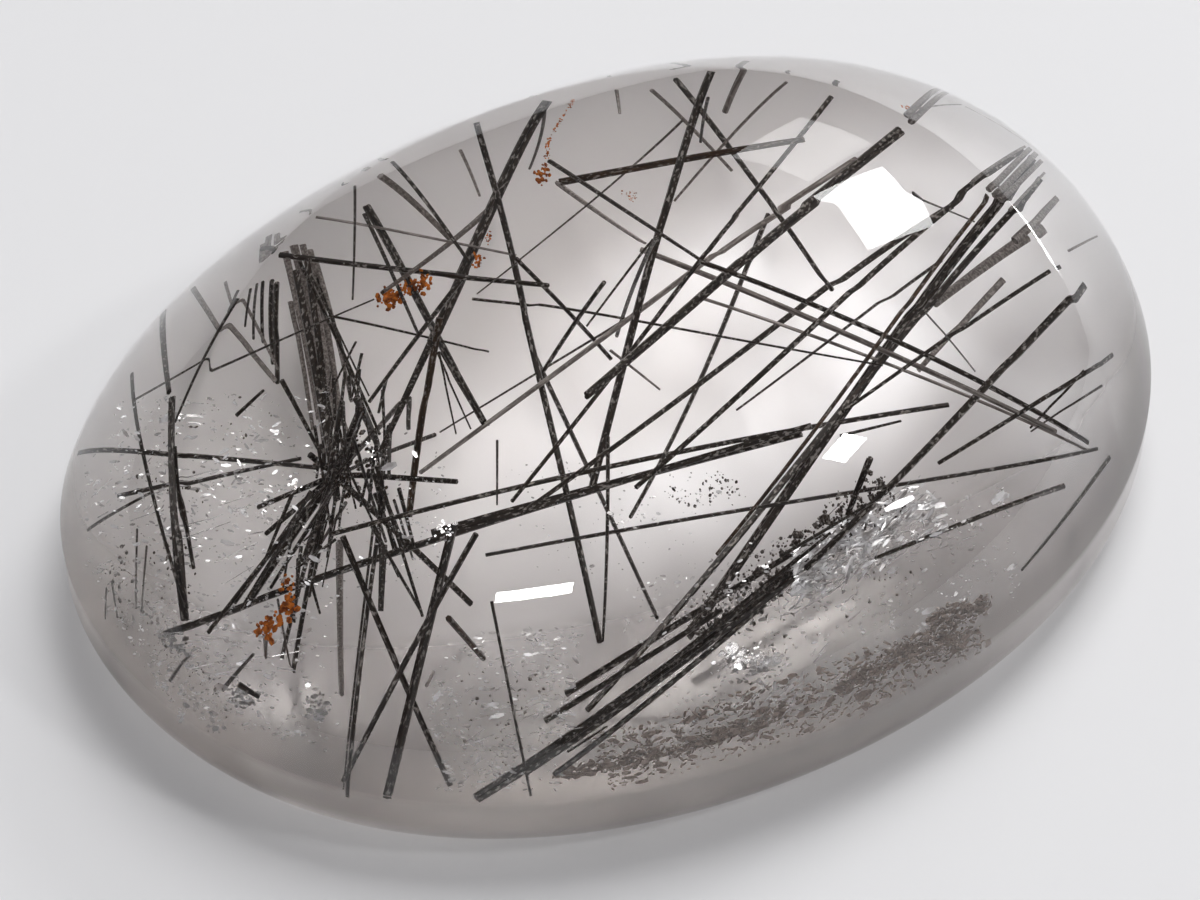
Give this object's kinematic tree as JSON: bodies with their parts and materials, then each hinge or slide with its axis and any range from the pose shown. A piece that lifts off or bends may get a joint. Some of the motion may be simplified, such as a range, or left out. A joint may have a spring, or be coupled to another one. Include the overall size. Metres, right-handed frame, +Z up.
{
  "type": "polished quartz stone with dark needle inclusions",
  "caption": "Clear polished oval cabochon of quartz with dark straight needles grown through it, flat below and domed above, to rest on a surface.",
  "frame": {"origin": "middle of the flat underside that the stone rests on", "axes": "+X along the oval's long way, +Y along its short way towards the side with the ridge, +Z up out of the dome"},
  "size_m": [0.0376, 0.0272, 0.0121],
  "materials": {
    "clear_quartz": "polished, clear, faintly grey-lilac",
    "dark_needle": "black-brown mineral with a dull metallic lustre",
    "iron_oxide": "matt rust-orange crust",
    "healed_crack": "glinting white flecks of healed cracks"
  },
  "bodies": {
    "root": {"quartz_upper": "clear_quartz", "quartz_lower": "clear_quartz", "needle_spray": "dark_needle", "needle_heavy_side": "dark_needle", "needle_heavy_lower": "dark_needle", "needle_heavy_upper": "dark_needle", "needle_heavy_middle": "dark_needle", "needle_diagonal_long": "dark_needle", "needle_gentle_long": "dark_needle", "needle_gentle_short": "dark_needle", "needle_gentle_upper": "dark_needle", "needle_steep_top": "dark_needle", "needle_thick_low": "dark_needle", "needle_long_down": "dark_needle", "needle_down_right": "dark_needle", "needle_comb_bar": "dark_needle", "needle_slant_top": "dark_needle", "needle_stub_top": "dark_needle", "needle_right_inner": "dark_needle", "needle_pair_upper": "dark_needle", "needle_pair_lower": "dark_needle", "needle_sweep": "dark_needle", "needle_deep_left": "dark_needle", "needle_deep_right": "dark_needle", "needle_fork_right": "dark_needle", "needle_level_right": "dark_needle", "needle_low_right": "dark_needle", "needle_left_long": "dark_needle", "needle_left_level_far": "dark_needle", "needle_left_level_near": "dark_needle", "needle_left_upper": "dark_needle", "needle_low_cross": "dark_needle", "needle_low_fork_left": "dark_needle", "needle_low_fork_right": "dark_needle", "needle_upper_thin": "dark_needle", "needle_middle_slant": "dark_needle", "needle_middle_steep": "dark_needle", "needle_comb_second": "dark_needle", "needle_comb_third": "dark_needle", "needle_comb_fourth": "dark_needle", "needle_comb_fifth": "dark_needle", "needle_cross_long": "dark_needle", "needle_center_long": "dark_needle", "needle_right_cross": "dark_needle", "needle_top_slant": "dark_needle", "needle_brown_cross": "dark_needle", "needle_upper_fine": "dark_needle", "needle_right_strand": "dark_needle", "needle_left_branch": "dark_needle", "needle_low_center": "dark_needle", "needle_low_fine": "dark_needle", "needle_heavy": "dark_needle", "needle_right": "dark_needle", "needle_top_bar": "dark_needle", "needle_top_thick": "dark_needle", "needle_upper_wide": "dark_needle", "needle_deep_wide": "dark_needle", "needle_left_thick": "dark_needle", "needle_low_thick": "dark_needle", "needle_right_stub": "dark_needle"}
  },
  "joints": []
}
